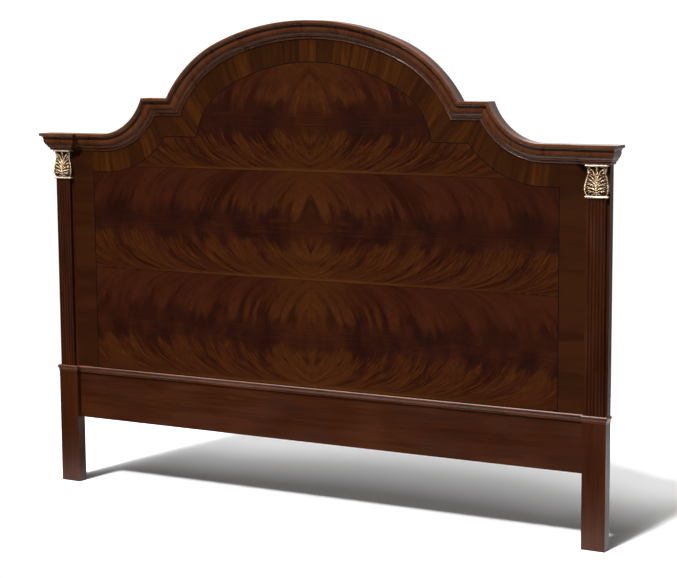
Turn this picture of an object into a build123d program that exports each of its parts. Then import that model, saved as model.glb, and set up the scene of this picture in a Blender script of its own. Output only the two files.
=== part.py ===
from build123d import *
import os
from math import atan2, cos, degrees, radians, sin, sqrt

# A king-size mahogany headboard with an arched crest, in millimetres.
# +X runs to the right seen from the bed, +Y runs from the face to the back, +Z is up.
# The origin is on the floor, below the middle of the object.

# ---- posts and pilasters ----
LEG_SPAN = 2032.0  # outside of one leg to outside of the other, 80 inches
POST_W = 76.0
POST_BACK = 37.0  # the flat back plane that posts and panel share
LEG_FRONT = -1.0  # face of the thick lower leg
POST_FRONT = 10.0  # face of the thinner upper post, behind the pilaster
SHAFT_W = 57.0
SHAFT_FRONT = -2.0
FLUTES = 5
FLUTE_PITCH = 10.8
FLUTE_R = 2.6
CAP_Z = 391.0  # underside of the moulding that caps the leg and the rail
CAP_TOP = 413.0
NECK_Z = 1066.0  # underside of the gilt neck bead
NECK_H = 6.5
ABACUS_H = 6.0

# ---- panel and rail ----
CORE_FRONT = 12.0
VENEER = 0.8
BACK_VENEER = 0.8
LIPPING = 4.0
RAIL_FRONT = 15.0
RAIL_Z = 231.0
TENON = (30.0, 11.0, 110.0)  # length into the post, thickness, height

# ---- crest line: straight, cove, step, arch ----
APEX_Z = 1596.0
STEP_Z = 1346.0
STRAIGHT_Z = 1223.0
CROWN_R = 837.0
FLANK_R = 428.0
JOIN = 23.0  # degrees from upright where the crown arc passes into the flank arc
COVE_X = 808.0
COVE_R = 185.0

# ---- field line: the same figure drawn inside the cross-banding ----
FIELD_APEX_Z = 1466.5
FIELD_STEP_Z = 1220.0
FIELD_CROWN_R = 633.0
FIELD_FLANK_R = 206.0
FIELD_JOIN = 32.2
FIELD_DROP = 128.0  # below the crest line over the cove and the straight
FIELD_HALF = 857.0
STRING_W = 3.0
SEAMS = (765.0, 1115.0)  # the two level joints between the three rows of flame veneer

# ---- cornice ----
CROWN_D = 43.0  # depth of the crown moulding
BED_D = 58.0  # depth of crown and bed moulding together
BREAK = 18.0  # how far the corner blocks stand in front of the main run
BLOCK_BASE = -3.0  # plane from which the block's projections are measured
REACH = 34.0  # greatest projection of the cornice

# ---- joinery ----
DOWEL_R = 5.0
DOWEL_L = 60.0
DOWEL_LEVELS = (470.0, 640.0, 810.0, 980.0, 1120.0)
INSERT_LEVELS = (110.0, 185.0)
INSERT_R = 6.5
INSERT_BORE = 4.0
INSERT_L = 20.0

HALF = LEG_SPAN / 2
INNER = HALF - POST_W  # inner side of each post
POST_X = HALF - POST_W / 2
FACE = CORE_FRONT - VENEER
PARTS = "parts"


def save(name, shape, colour):
    shape.label = name
    shape.color = Color(*colour)
    export_step(shape, os.path.join(PARTS, name + ".step"))


def block(x0, x1, y0, y1, z0, z1):
    solid = Box(x1 - x0, y1 - y0, z1 - z0, align=(Align.MIN, Align.MIN, Align.MIN))
    return Pos(x0, y0, z0) * solid


def mirrored(shape):
    return mirror(shape, about=Plane.YZ)


def one_solid(shape):
    return max(shape.solids(), key=lambda s: s.volume)


class Crest:
    """The outline of the top: one figure, and every line drawn parallel to it."""

    def __init__(self, apex, step, straight, crown_r, flank_r, join, cove_r):
        self.apex, self.step, self.straight = apex, step, straight
        self.crown_r, self.flank_r, self.join = crown_r, flank_r, radians(join)
        self.cove_r = cove_r
        self.crown_z = apex - crown_r
        self.flank_x = (crown_r - flank_r) * sin(self.join)
        self.flank_z = self.crown_z + (crown_r - flank_r) * cos(self.join)
        self.cove_z = straight + cove_r

    def spring(self, d):
        """Foot of the arch on the step, on the line d below the crest."""
        r, rise = self.flank_r - d, self.step - d - self.flank_z
        return self.flank_x + sqrt(r * r - rise * rise), self.step - d

    def corner(self, d):
        """Outer end of the step, where the cove starts, on the line d below the crest."""
        r, drop = self.cove_r + d, self.cove_z - self.step + d
        return COVE_X - sqrt(r * r - drop * drop), self.step - d

    def face(self, d, half, base):
        """Everything under the line d below the crest, between x = -half and half, above base."""
        crown, flank, cove = self.crown_r - d, self.flank_r - d, self.cove_r + d
        spring, corner, level = self.spring(d), self.corner(d), self.straight - d
        join = (crown * sin(self.join), self.crown_z + crown * cos(self.join))
        bend = (self.join + atan2(spring[0] - self.flank_x, spring[1] - self.flank_z)) / 2
        on_flank = (self.flank_x + flank * sin(bend), self.flank_z + flank * cos(bend))
        sweep = atan2(COVE_X - corner[0], self.cove_z - corner[1]) / 2
        on_cove = (COVE_X - cove * sin(sweep), self.cove_z - cove * cos(sweep))

        def flip(p):
            return (-p[0], p[1])

        edges = [
            ThreePointArc(flip(join), (0, self.apex - d), join),
            ThreePointArc(join, on_flank, spring),
            Line(spring, corner),
            ThreePointArc(corner, on_cove, (COVE_X, level)),
            Polyline((COVE_X, level), (half, level), (half, base), (-half, base), (-half, level),
                     (-COVE_X, level)),
            ThreePointArc((-COVE_X, level), flip(on_cove), flip(corner)),
            Line(flip(corner), flip(spring)),
            ThreePointArc(flip(spring), flip(on_flank), flip(join)),
        ]
        return make_face(edges)


CREST = Crest(APEX_Z, STEP_Z, STRAIGHT_Z, CROWN_R, FLANK_R, JOIN, COVE_R)
FIELD = Crest(FIELD_APEX_Z, FIELD_STEP_Z, STRAIGHT_Z - FIELD_DROP, FIELD_CROWN_R, FIELD_FLANK_R,
              FIELD_JOIN, COVE_R + FIELD_DROP)


def plate(face, y0, y1):
    """A face drawn in X and Z, given its thickness from y0 to y1."""
    return extrude(Plane(origin=(0, y1, 0), x_dir=(1, 0, 0), z_dir=(0, -1, 0)) * face, y1 - y0)


# ---- mitres ----
# Each mitre runs through the two corners that the outermost and the innermost line make.


def mitre(point, inner, reach=70.0):
    """The mitre line through the corner on the crest and the corner on the line below it."""
    (x0, z0), (x1, z1) = point, inner
    length = sqrt((x1 - x0) ** 2 + (z1 - z0) ** 2)
    ux, uz = (x1 - x0) / length, (z1 - z0) / length
    return (x0 - ux * reach, z0 - uz * reach), (x1 + ux * reach, z1 + uz * reach)


def bay(name, inner_d=BED_D, lower=None):
    """A prism round one stretch of the crest on the right: arch, step or side."""
    lower = lower or (CREST.spring(inner_d), CREST.corner(inner_d))
    a = mitre(CREST.spring(0), lower[0])
    b = mitre(CREST.corner(0), lower[1])
    top = APEX_Z + 100.0
    far = HALF + 200.0
    if name == "step":
        outline = Polyline(a[0], b[0], b[1], a[1], a[0])
    elif name == "side":
        outline = Polyline(b[0], (b[0][0], top), (far, top), (far, 900.0), (b[1][0], 900.0), b[1], b[0])
    else:
        ring = [a[0], (a[0][0], top), (-a[0][0], top), (-a[0][0], a[0][1])]
        ring += [(-a[1][0], a[1][1]), (-a[1][0], 900.0), (a[1][0], 900.0), a[1], a[0]]
        outline = Polyline(*ring)
    return plate(make_face(outline), -100.0, 100.0)


# ---- moulding profiles ----
# A profile is drawn in d, the distance below the crest, and p, the projection from its base plane.


def crown_profile(at, back):
    """Square fillet, cavetto, quirk and a long soft thumb."""
    return [
        Polyline(at(0, back), at(0, REACH), at(9.0, REACH), at(9.0, REACH - 1.6)),
        ThreePointArc(at(9.0, REACH - 1.6), at(12.2, REACH - 7.2), at(18.0, REACH - 10.0)),
        Polyline(at(18.0, REACH - 10.0), at(19.6, REACH - 11.5), at(20.2, REACH - 10.2)),
        ThreePointArc(at(20.2, REACH - 10.2), at(32.5, REACH - 12.5), at(CROWN_D, REACH - 20.0)),
        Polyline(at(CROWN_D, REACH - 20.0), at(CROWN_D, back), at(0, back)),
    ]


def bed_profile(at, back, lead):
    """Ovolo above two small beads; lead is the projection of the ovolo's top edge."""
    return [
        Polyline(at(CROWN_D, back), at(CROWN_D, lead)),
        ThreePointArc(at(CROWN_D, lead), at(48.0, lead - 1.8), at(50.0, lead - 6.0)),
        Line(at(50.0, lead - 6.0), at(50.0, lead - 7.0)),
        ThreePointArc(at(50.0, lead - 7.0), at(52.0, lead - 5.0), at(54.0, lead - 7.0)),
        Line(at(54.0, lead - 7.0), at(54.0, lead - 8.8)),
        ThreePointArc(at(54.0, lead - 8.8), at(56.0, lead - 6.8), at(BED_D, lead - 8.8)),
        Line(at(BED_D, lead - 8.8), at(BED_D, back)),
        Line(at(BED_D, back), at(CROWN_D, back)),
    ]


MAIN_BASE = BLOCK_BASE + BREAK
MAIN_BACK = MAIN_BASE - CORE_FRONT
BED_LEAD = 14.0


def main_profile(kind, r, s):
    """Profile of the main run as a face in (radius, y), where the radius is r + s * d."""

    def at(d, p):
        return (r + s * d, MAIN_BASE - p)

    if kind == "crown":
        return make_face(crown_profile(at, MAIN_BACK))
    return make_face(bed_profile(at, MAIN_BACK, BED_LEAD))


def ring(kind, cx, cz, r, s, start, end):
    """A profile turned about the axis through (cx, cz) along Y, from start to end in degrees."""
    a = radians(start)
    plane = Plane(origin=(cx, 0, cz), x_dir=(cos(a), 0, sin(a)), z_dir=(-sin(a), 0, cos(a)))
    axis = Axis((cx, 0, cz), (0, -1, 0))
    return revolve(plane * main_profile(kind, r, s), axis, end - start)


def run(kind, z, x0, x1):
    """A profile drawn straight along X under the level z."""
    plane = Plane(origin=(x1, 0, z), x_dir=(0, 0, 1), z_dir=(-1, 0, 0))
    return extrude(plane * main_profile(kind, 0, -1), x1 - x0)


def cornice(kind):
    """The right-hand pieces of one moulding: arch, step and side, mitred to each other."""
    crown_half = degrees(CREST.join)
    spring, corner = CREST.spring(BED_D), CREST.corner(BED_D)
    low = degrees(atan2(spring[1] - CREST.flank_z, spring[0] - CREST.flank_x)) - 12.0
    crown = ring(kind, 0, CREST.crown_z, CROWN_R, -1, 90 - crown_half, 90 + crown_half)
    flank = ring(kind, CREST.flank_x, CREST.flank_z, FLANK_R, -1, low, 90 - crown_half)
    arch = (crown + flank + mirrored(flank)) & bay("arch")
    step = run(kind, STEP_Z, 400.0, 720.0) & bay("step")
    reach = degrees(atan2(corner[1] - CREST.cove_z, corner[0] - COVE_X)) % 360
    cove = ring(kind, COVE_X, CREST.cove_z, COVE_R, 1, reach - 14.0, 270.0)
    straight = run(kind, STRAIGHT_Z, COVE_X, INNER)
    side = (cove + straight) & bay("side")
    return one_solid(arch), one_solid(step), one_solid(side)


def corner_solid(kind):
    """A right-hand corner block: the profile on its front and on both sides, mitred."""

    def front(d, p):
        return (BLOCK_BASE - p, STRAIGHT_Z - d)

    def outer(d, p):
        return (HALF + p, STRAIGHT_Z - d)

    def inner(d, p):
        return (INNER - p, STRAIGHT_Z - d)

    def profile(at, back):
        if kind == "crown":
            return make_face(crown_profile(at, back))
        return make_face(bed_profile(at, back, BED_LEAD))

    x_low, x_high = INNER - REACH - 5, HALF + REACH + 5
    across = Plane(origin=(x_low, 0, 0), x_dir=(0, 1, 0), z_dir=(1, 0, 0))
    along = Plane(origin=(0, POST_BACK, 0), x_dir=(1, 0, 0), z_dir=(0, -1, 0))
    depth = POST_BACK - BLOCK_BASE + REACH + 5
    body = extrude(across * profile(front, BLOCK_BASE - POST_BACK), x_high - x_low)
    body &= extrude(along * profile(outer, x_low - HALF), depth)
    body &= extrude(along * profile(inner, x_low - HALF), depth)
    body -= block(x_low, INNER, CORE_FRONT, POST_BACK + 1, 1000, 1300)
    return body


# ---- sub-parts on the right-hand side ----


def post():
    low, high = CAP_TOP - 6.0, STRAIGHT_Z - CROWN_D
    body = block(INNER, HALF, LEG_FRONT, POST_BACK, 0, low)
    body += block(INNER, HALF, POST_FRONT, POST_BACK, low, high)
    body -= tenon()
    for hole in dowels_panel() + inserts(INSERT_R):
        body -= hole
    body -= dowel_block()
    return one_solid(body)


def tenon():
    length, thick, height = TENON
    mid_y = (RAIL_FRONT + POST_BACK) / 2
    mid_z = (RAIL_Z + CAP_Z) / 2
    return block(INNER, INNER + length, mid_y - thick / 2, mid_y + thick / 2,
                 mid_z - height / 2, mid_z + height / 2)


def dowels_panel():
    """Dowels lying along X, half in the panel and half in the post."""
    mid_y = (CORE_FRONT + POST_BACK - BACK_VENEER) / 2
    peg = Rot(0, 90, 0) * Cylinder(DOWEL_R, DOWEL_L)
    return [Pos(INNER, mid_y, z) * peg for z in DOWEL_LEVELS]


def dowel_block():
    """Two upright dowels between the post and the corner block."""
    peg = Cylinder(DOWEL_R, DOWEL_L / 2)
    mid_y = (POST_FRONT + POST_BACK) / 2
    z = STRAIGHT_Z - CROWN_D
    return Pos(POST_X - 18, mid_y, z) * peg + Pos(POST_X + 18, mid_y, z) * peg


def inserts(radius, bore=0.0):
    """Threaded inserts let into the back of the leg, flush with it."""
    made = []
    for z in INSERT_LEVELS:
        place = Pos(POST_X, POST_BACK - INSERT_L / 2, z) * Rot(90, 0, 0)
        sleeve = Cylinder(radius, INSERT_L)
        if bore:
            sleeve -= Cylinder(bore, INSERT_L)
        made.append(place * sleeve)
    return made


def pilaster():
    half = SHAFT_W / 2
    body = block(POST_X - half, POST_X + half, SHAFT_FRONT, POST_FRONT, CAP_TOP, NECK_Z)
    body = chamfer(body.edges().filter_by(Axis.Z).group_by(Axis.Y)[0], 0.8)
    height = NECK_Z - CAP_TOP
    for i in range(FLUTES):
        x = POST_X + (i - (FLUTES - 1) / 2) * FLUTE_PITCH
        body -= Pos(x, SHAFT_FRONT - 0.4, CAP_TOP + height / 2) * Cylinder(FLUTE_R, height)
    return one_solid(body)


def bead_round(z0, z1, half, reach, back):
    """A half-round moulding on the front and both sides of something 2 * half wide."""
    r = (z1 - z0) / 2
    mid = z0 + r
    front = make_face([Polyline((back, z0), (reach + r, z0)), Line((back, z1), (back, z0)),
                       ThreePointArc((reach + r, z0), (reach, mid), (reach + r, z1)),
                       Line((reach + r, z1), (back, z1))])
    sides = make_face([Line((-half + r, z0), (half - r, z0)), Line((half - r, z1), (-half + r, z1)),
                       ThreePointArc((half - r, z0), (half, mid), (half - r, z1)),
                       ThreePointArc((-half + r, z1), (-half, mid), (-half + r, z0))])
    across = Plane(origin=(-half - 1, 0, 0), x_dir=(0, 1, 0), z_dir=(1, 0, 0))
    along = Plane(origin=(0, back, 0), x_dir=(1, 0, 0), z_dir=(0, -1, 0))
    body = extrude(across * front, 2 * half + 2) & extrude(along * sides, back - reach + r + 1)
    return Pos(POST_X, 0, 0) * body


def capital_bell():
    """Vase-shaped core of the carved capital, narrow above and swelling below."""
    z0, z1 = NECK_Z + NECK_H, STRAIGHT_Z - BED_D - ABACUS_H
    levels = ((0.0, 33.0, -4.5), (0.22, 38.0, -9.5), (0.45, 36.0, -8.0), (0.75, 31.0, -4.5),
              (1.0, 32.0, -6.5))

    def side(sign):
        return Spline(*[(sign * w, z0 + t * (z1 - z0)) for t, w, _ in levels])

    sides = make_face([side(1), side(-1), Line((-levels[0][1], z0), (levels[0][1], z0)),
                       Line((-levels[-1][1], z1), (levels[-1][1], z1))])
    swell = Spline(*[(y, z0 + t * (z1 - z0)) for t, _, y in levels])
    front = make_face([swell, Polyline((levels[-1][2], z1), (POST_FRONT, z1), (POST_FRONT, z0),
                                       (levels[0][2], z0))])
    across = Plane(origin=(-60, 0, 0), x_dir=(0, 1, 0), z_dir=(1, 0, 0))
    along = Plane(origin=(0, POST_FRONT, 0), x_dir=(1, 0, 0), z_dir=(0, -1, 0))
    body = extrude(across * front, 120) & extrude(along * sides, 60)
    return Pos(POST_X, 0, 0) * body


def cap_section(at, back):
    """Cavetto under a half-round bead, drawn in z and projection."""
    bead = CAP_TOP - 12.0
    return [
        Polyline(at(CAP_Z, back), at(CAP_Z, 0.8), at(CAP_Z + 2.5, 0.8)),
        ThreePointArc(at(CAP_Z + 2.5, 0.8), at(bead - 3.0, 1.2), at(bead - 0.8, 2.4)),
        Line(at(bead - 0.8, 2.4), at(bead, 1.6)),
        ThreePointArc(at(bead, 1.6), at(bead + 6.0, 4.4), at(CAP_TOP, 1.6)),
        Polyline(at(CAP_TOP, 1.6), at(CAP_TOP, back), at(CAP_Z, back)),
    ]


def plinth_cap():
    """The moulding round the head of the leg: front and both sides."""
    x_low, x_high = INNER - 10, HALF + 10
    across = Plane(origin=(x_low, 0, 0), x_dir=(0, 1, 0), z_dir=(1, 0, 0))
    along = Plane(origin=(0, POST_BACK, 0), x_dir=(1, 0, 0), z_dir=(0, -1, 0))
    front = make_face(cap_section(lambda z, p: (LEG_FRONT - p, z), LEG_FRONT - POST_BACK))
    outer = make_face(cap_section(lambda z, p: (HALF + p, z), x_low - HALF))
    inner = make_face(cap_section(lambda z, p: (INNER - p, z), x_low - HALF))
    depth = POST_BACK - LEG_FRONT + 10
    body = extrude(across * front, x_high - x_low)
    body &= extrude(along * outer, depth)
    body &= extrude(along * inner, depth)
    low = CAP_TOP - 6.0
    body -= block(INNER, HALF, LEG_FRONT, POST_BACK + 1, 0, low)
    body -= block(INNER, HALF, POST_FRONT, POST_BACK + 1, 0, 500)
    body -= block(x_low, INNER, FACE, POST_BACK + 1, 0, 500)
    return one_solid(body)


# ---- sub-parts across the middle ----


def rail_cap():
    """The same moulding along the top of the rail, planted on the foot of the panel."""
    base = CORE_FRONT - 1.0
    section = make_face(cap_section(lambda z, p: (base - p, z), base - CORE_FRONT))
    across = Plane(origin=(-INNER, 0, 0), x_dir=(0, 1, 0), z_dir=(1, 0, 0))
    body = extrude(across * section, 2 * INNER)
    cap = plinth_cap()
    return one_solid(body - cap - mirrored(cap))


def bottom_rail():
    body = block(-INNER, INNER, RAIL_FRONT, POST_BACK, RAIL_Z, CAP_Z)
    return one_solid(body + tenon() + mirrored(tenon()))


def panel_core():
    body = plate(CREST.face(LIPPING, INNER, CAP_Z), CORE_FRONT, POST_BACK - BACK_VENEER)
    for peg in dowels_panel():
        body -= peg
        body -= mirrored(peg)
    return one_solid(body)


def lippings():
    """Solid edging along the top of the panel, in the same bays as the cornice."""
    strip = plate(CREST.face(0, INNER, 1000), CORE_FRONT, POST_BACK)
    strip -= plate(CREST.face(LIPPING, INNER + 1, 990), CORE_FRONT - 1, POST_BACK + 1)
    return [one_solid(strip & bay(name)) for name in ("arch", "step", "side")]


def bands():
    """Cross-banding between the bed moulding and the stringing: arch, step, cove and side."""
    sheet = plate(CREST.face(BED_D, INNER, CAP_TOP), FACE, CORE_FRONT)
    sheet -= plate(FIELD.face(0, FIELD_HALF, CAP_TOP - 10), FACE - 1, CORE_FRONT + 1)
    edge = block(FIELD_HALF, INNER + 1, FACE - 1, CORE_FRONT + 1, 0, STRAIGHT_Z)
    side = one_solid(sheet & edge)
    rest = sheet - edge - mirrored(edge)
    lower = (FIELD.spring(0), FIELD.corner(0))
    pieces = [one_solid(rest & bay(name, lower=lower)) for name in ("arch", "step", "side")]
    return pieces + [side]


def field(inset):
    return plate(FIELD.face(inset, FIELD_HALF - inset, CAP_TOP), FACE, CORE_FRONT)


def stringing():
    """The dark line round the field: the arch, and one long line up each side."""
    line = field(0) - plate(FIELD.face(STRING_W, FIELD_HALF - STRING_W, CAP_TOP - 10),
                            FACE - 1, CORE_FRONT + 1)
    cut = mitre(FIELD.spring(0), FIELD.spring(STRING_W), 5.0)
    top = FIELD_APEX_Z + 50
    ring = [cut[0], (cut[0][0], top), (-cut[0][0], top), (-cut[0][0], cut[0][1])]
    ring += [(-cut[1][0], cut[1][1]), (-cut[1][0], 1100), (cut[1][0], 1100), cut[1], cut[0]]
    middle = plate(make_face(Polyline(*ring)), FACE - 1, CORE_FRONT + 1)
    right = block(0, HALF, FACE - 1, CORE_FRONT + 1, 0, top)
    return one_solid(line & middle), one_solid((line - middle) & right)


def flame_leaves():
    """Three rows of matched veneer, cut at the centre line: the right-hand leaf of each row."""
    sheet = field(STRING_W)
    levels = (CAP_TOP,) + SEAMS + (APEX_Z,)
    made = []
    for low, high in zip(levels, levels[1:]):
        made.append(one_solid(sheet & block(0, HALF, FACE - 1, CORE_FRONT + 1, low, high)))
    return made


# ---- the whole headboard ----

MAHOGANY = (0.24, 0.10, 0.05)
CROSSBAND = (0.33, 0.18, 0.07)
FLAME = (0.38, 0.17, 0.08)
EBONY = (0.06, 0.04, 0.03)
GILT = (0.72, 0.56, 0.25)
CORE = (0.62, 0.50, 0.36)
BEECH = (0.78, 0.63, 0.42)
STEEL = (0.62, 0.63, 0.64)


def save_pair(name, shape, colour):
    save(name + "_right", shape, colour)
    save(name + "_left", mirrored(shape), colour)


def main():
    os.makedirs(PARTS, exist_ok=True)

    save_pair("post", post(), MAHOGANY)
    save("bottom_rail", bottom_rail(), MAHOGANY)
    save("rail_cap", rail_cap(), MAHOGANY)
    save_pair("plinth_cap", plinth_cap(), MAHOGANY)
    save_pair("pilaster", pilaster(), MAHOGANY)
    save("panel_core", panel_core(), CORE)
    back = plate(CREST.face(LIPPING, INNER, CAP_Z), POST_BACK - BACK_VENEER, POST_BACK)
    save("back_veneer", one_solid(back), MAHOGANY)

    neck = bead_round(NECK_Z, NECK_Z + NECK_H, 35.5, -6.0, POST_FRONT)
    abacus_z = STRAIGHT_Z - BED_D - ABACUS_H
    save_pair("capital", one_solid(capital_bell()), GILT)
    save_pair("capital_neck_bead", neck, GILT)
    save_pair("capital_abacus", bead_round(abacus_z, abacus_z + ABACUS_H, 35.0, -9.5, POST_FRONT), GILT)

    crown_block = corner_solid("crown") - dowel_block()
    bed_block = corner_solid("bed") - block(INNER, HALF, POST_FRONT, POST_BACK + 1, 1000, 1300)
    save_pair("cornice_block", one_solid(crown_block), MAHOGANY)
    save_pair("bed_mould_block", one_solid(bed_block), MAHOGANY)
    for kind, name in (("crown", "cornice"), ("bed", "bed_mould")):
        arch, step, side = cornice(kind)
        save(name + "_arch", arch, MAHOGANY)
        save_pair(name + "_step", step, MAHOGANY)
        save_pair(name + "_cove", one_solid(side - crown_block - bed_block), MAHOGANY)

    arch, step, side = lippings()
    save("lipping_arch", arch, MAHOGANY)
    save_pair("lipping_step", step, MAHOGANY)
    save_pair("lipping_cove", side, MAHOGANY)

    arch, step, cove, side = bands()
    save("crossband_arch", arch, CROSSBAND)
    save_pair("crossband_step", step, CROSSBAND)
    save_pair("crossband_cove", cove, CROSSBAND)
    save_pair("crossband_side", side, CROSSBAND)

    arch, side = stringing()
    save("stringing_arch", arch, EBONY)
    save_pair("stringing_side", side, EBONY)
    for name, leaf in zip(("bottom", "middle", "top"), flame_leaves()):
        save_pair("flame_" + name, leaf, FLAME)

    pegs = dowels_panel()
    save("panel_dowels", Compound(children=pegs + [mirrored(p) for p in pegs]), BEECH)
    pair = dowel_block().solids()
    save("block_dowels", Compound(children=pair + [mirrored(p) for p in pair]), BEECH)
    save_pair("frame_inserts", Compound(children=inserts(INSERT_R, INSERT_BORE)), STEEL)


main()
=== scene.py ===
from math import atan2, cos, pi, radians, sin, sqrt

import bmesh
import bpy
import numpy as np
from mathutils import Matrix, Vector

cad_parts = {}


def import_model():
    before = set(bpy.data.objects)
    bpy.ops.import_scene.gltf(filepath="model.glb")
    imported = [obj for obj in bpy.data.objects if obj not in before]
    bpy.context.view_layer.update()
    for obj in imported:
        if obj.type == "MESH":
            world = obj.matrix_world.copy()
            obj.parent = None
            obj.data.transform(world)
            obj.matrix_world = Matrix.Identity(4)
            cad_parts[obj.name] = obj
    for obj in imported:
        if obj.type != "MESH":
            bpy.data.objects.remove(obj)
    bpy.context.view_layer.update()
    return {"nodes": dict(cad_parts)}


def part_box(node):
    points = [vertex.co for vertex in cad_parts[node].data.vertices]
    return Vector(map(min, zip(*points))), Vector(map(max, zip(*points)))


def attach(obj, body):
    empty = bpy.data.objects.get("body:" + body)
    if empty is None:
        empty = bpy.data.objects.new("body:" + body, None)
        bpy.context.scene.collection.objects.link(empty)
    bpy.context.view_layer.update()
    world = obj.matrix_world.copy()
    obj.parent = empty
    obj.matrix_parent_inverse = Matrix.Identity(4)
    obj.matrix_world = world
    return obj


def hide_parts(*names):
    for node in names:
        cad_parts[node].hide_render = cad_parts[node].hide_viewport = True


# A king-size mahogany headboard: arched crest, cross-banded flame veneer, gilt capitals.
# Metres, +X to the right seen from the front, +Y to the back, +Z up.

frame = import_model()
NODES = frame["nodes"]
SIDES = (("right", 1), ("left", -1))
MM = 0.001


def low(node):
    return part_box(node)[0]


def high(node):
    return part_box(node)[1]


# ---- places read from the frame ----
HALF = high("post_right").x
INNER = low("post_right").x
POST_X = (HALF + INNER) / 2
POST_BACK = high("post_right").y
POST_FRONT = high("pilaster_right").y
CORE_FRONT = low("panel_core").y
FACE = low("crossband_arch").y
APEX_Z = high("cornice_arch").z
STEP_Z = high("cornice_step_right").z
STRAIGHT_Z = high("cornice_block_right").z
MAIN_FRONT = low("cornice_arch").y
BLOCK_FRONT = low("cornice_block_right").y
ROW_H = high("flame_middle_right").z - low("flame_middle_right").z
FIELD_FOOT = low("flame_middle_right").z - ROW_H
NECK_TOP = high("capital_neck_bead_right").z
CAPITAL_TOP = low("capital_abacus_right").z
FIELD_HALF = high("stringing_side_right").x

# ---- the crest line and the field line, as the design draws them ----
CROWN_R = 837 * MM
FLANK_R = 428 * MM
JOIN = radians(23)
COVE_X = 808 * MM
COVE_R = 185 * MM
FIELD_CROWN_R = 633 * MM
FIELD_FLANK_R = 206 * MM
FIELD_JOIN = radians(32.2)
FIELD_DROP = 128 * MM
FIELD_STEP_Z = 1220 * MM
STRING_W = 3 * MM
STRING_PROUD = 0.06 * MM
LIPPING_H = 4 * MM
BED_D = 58 * MM
TUCK = 1 * MM
REACH = 34 * MM
ARRIS = 1.5 * MM
FINE_ARRIS = 0.3 * MM
FRAME_ARRIS = 1.0 * MM

# ---- how many points divide each stretch of a line ----
FLANK_COUNT = 44
CROWN_COUNT = 41
LEVEL_COUNT = 9
COVE_COUNT = 49
UPRIGHT_COUNT = 24
BAND_ARCH_COUNT = 181
BAND_COVE_COUNT = 65


class Crest:
    """The outline of the top, and every line drawn parallel to it at a depth d."""

    def __init__(self, apex, step, straight, crown_r, flank_r, join, cove_r):
        self.apex, self.step, self.straight = apex, step, straight
        self.crown_r, self.flank_r, self.join, self.cove_r = crown_r, flank_r, join, cove_r
        self.crown_z = apex - crown_r
        self.flank_x = (crown_r - flank_r) * sin(join)
        self.flank_z = self.crown_z + (crown_r - flank_r) * cos(join)
        self.cove_z = straight + cove_r

    def spring(self, d):
        """Where the arch springs from the step on the right."""
        r, rise = self.flank_r - d, self.step - d - self.flank_z
        return self.flank_x + sqrt(r * r - rise * rise), self.step - d

    def corner(self, d):
        """Where the step on the right meets the cove."""
        r, drop = self.cove_r + d, self.cove_z - self.step + d
        return COVE_X - sqrt(r * r - drop * drop), self.step - d

    def arch(self, d):
        """Points from the left foot of the arch over the top to the right foot."""
        x, z = self.spring(d)
        foot = atan2(x - self.flank_x, z - self.flank_z)
        flank = np.linspace(foot, self.join, FLANK_COUNT)
        crown = np.linspace(self.join, 0, CROWN_COUNT)
        half = [arc_point(self.flank_x, self.flank_z, self.flank_r - d, a) for a in flank]
        half += [arc_point(0, self.crown_z, self.crown_r - d, a) for a in crown[1:]]
        return [(-px, pz) for px, pz in half] + half[-2::-1]

    def level(self, d):
        """Points along the short step on the right, from the arch to the cove."""
        (x0, z), (x1, _) = self.spring(d), self.corner(d)
        return [(x, z) for x in np.linspace(x0, x1, LEVEL_COUNT)]

    def cove(self, d, end):
        """Points down the cove on the right and along the straight to x = end."""
        x, z = self.corner(d)
        start = atan2(COVE_X - x, self.cove_z - z)
        r = self.cove_r + d
        points = [(COVE_X - r * sin(a), self.cove_z - r * cos(a)) for a in np.linspace(start, 0, COVE_COUNT)]
        return points + [(x, self.straight - d) for x in np.linspace(COVE_X, end, LEVEL_COUNT)[1:]]


def arc_point(x, z, r, angle):
    return x + r * sin(angle), z + r * cos(angle)


CREST = Crest(APEX_Z, STEP_Z, STRAIGHT_Z, CROWN_R, FLANK_R, JOIN, COVE_R)
FIELD = Crest(high("stringing_arch").z, FIELD_STEP_Z, STRAIGHT_Z - FIELD_DROP, FIELD_CROWN_R,
              FIELD_FLANK_R, FIELD_JOIN, COVE_R + FIELD_DROP)


# ---- mesh helpers ----


def bend(a, b, c, count=7):
    """Points of the arc from a through b to c, both ends included."""
    (ax, ay), (bx, by), (cx, cy) = a, b, c
    k = 2 * (ax * (by - cy) + bx * (cy - ay) + cx * (ay - by))
    sa, sb, sc = ax * ax + ay * ay, bx * bx + by * by, cx * cx + cy * cy
    x = (sa * (by - cy) + sb * (cy - ay) + sc * (ay - by)) / k
    y = (sa * (cx - bx) + sb * (ax - cx) + sc * (bx - ax)) / k
    r = sqrt((ax - x) ** 2 + (ay - y) ** 2)
    start, middle, end = (atan2(py - y, px - x) for px, py in (a, b, c))
    turn = (end - start) % (2 * pi)
    if (middle - start) % (2 * pi) > turn:
        turn -= 2 * pi
    return [(x + r * cos(start + turn * t), y + r * sin(start + turn * t))
            for t in np.linspace(0, 1, count)]


def soften(points, radius, closed=True):
    """The outline with each hard corner cut back to a small round."""
    nearly_straight, share = -0.93, 0.42
    made = []
    count = len(points)
    for i, p in enumerate(points):
        if not closed and i in (0, count - 1):
            made.append(p)
            continue
        p = np.array(p)
        before, after = np.array(points[i - 1]) - p, np.array(points[(i + 1) % count]) - p
        lb, la = np.linalg.norm(before), np.linalg.norm(after)
        if np.dot(before, after) / (lb * la) < nearly_straight:
            made.append(tuple(p))
            continue
        cut = min(radius, lb * share, la * share)
        first, last = p + before / lb * cut, p + after / la * cut
        middle = (first + last) / 4 + p / 2
        made += [tuple(first), tuple(middle), tuple(last)]
    return made


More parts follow.
